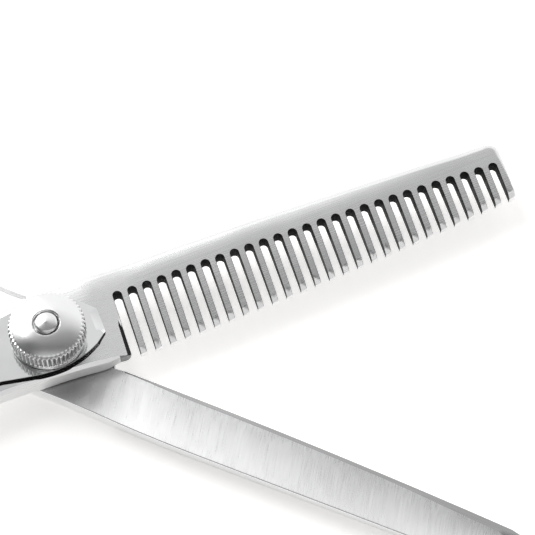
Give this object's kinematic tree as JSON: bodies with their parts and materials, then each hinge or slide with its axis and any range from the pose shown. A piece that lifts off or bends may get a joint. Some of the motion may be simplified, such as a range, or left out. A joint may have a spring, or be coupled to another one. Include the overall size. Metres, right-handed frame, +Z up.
{
  "type": "thinning shears",
  "caption": "Left-handed hair thinning shears: a plain blade, a toothed blade, a fluted tension knob at the pivot, two oval finger rings and a curved finger rest.",
  "frame": {"origin": "on the pivot axis, at the flush screw head's outer face, which is the level that the shears lie on", "axes": "+Z up along the pivot axis towards the tension knob, +X between the open blades towards their tips, +Y to the side of the toothed blade"},
  "size_m": [0.1397, 0.1179, 0.0102],
  "materials": {
    "polished_steel": "mirror polished outside, brushed across the blade on the inner face",
    "satin_steel": "satin outer face, polished pad and shank",
    "screw_steel": "fine turned",
    "nylon": "natural nylon",
    "spring_steel": "hardened strip",
    "knob_chrome": "satin crown, bright flutes",
    "bumper_rubber": "moulded matt"
  },
  "bodies": {
    "plain_half": {"plain_blade": "polished_steel", "pivot_screw": "screw_steel", "rubber_bumper": "bumper_rubber", "finger_rest": "polished_steel", "thrust_washer": "nylon", "wave_spring": "spring_steel"},
    "toothed_half": {"toothed_blade": "satin_steel", "pivot_bush": "nylon"},
    "pressure_stack": {"pressure_washer": "spring_steel"},
    "knob": {"tension_knob": "knob_chrome"}
  },
  "joints": [
    {"name": "blade_pivot", "type": "hinge", "parent": "plain_half", "child": "toothed_half", "pos_m": [0, 0, 0.0029], "axis": [0, 0, 1], "range_deg": [-44.8, 90]},
    {"name": "knob_travel", "type": "slide", "parent": "plain_half", "child": "pressure_stack", "axis": [0, 0, 1], "range_m": [-0.000166, 0.0005], "deforming": ["wave_spring"]},
    {"name": "knob_turn", "type": "hinge", "parent": "pressure_stack", "child": "knob", "pos_m": [0, 0, 0.0075], "axis": [0, 0, 1], "range_deg": [-120, 360]}
  ],
  "couplings": [
    {"joint": "knob_turn", "follows": "knob_travel", "rad_per_m": 12566}
  ]
}
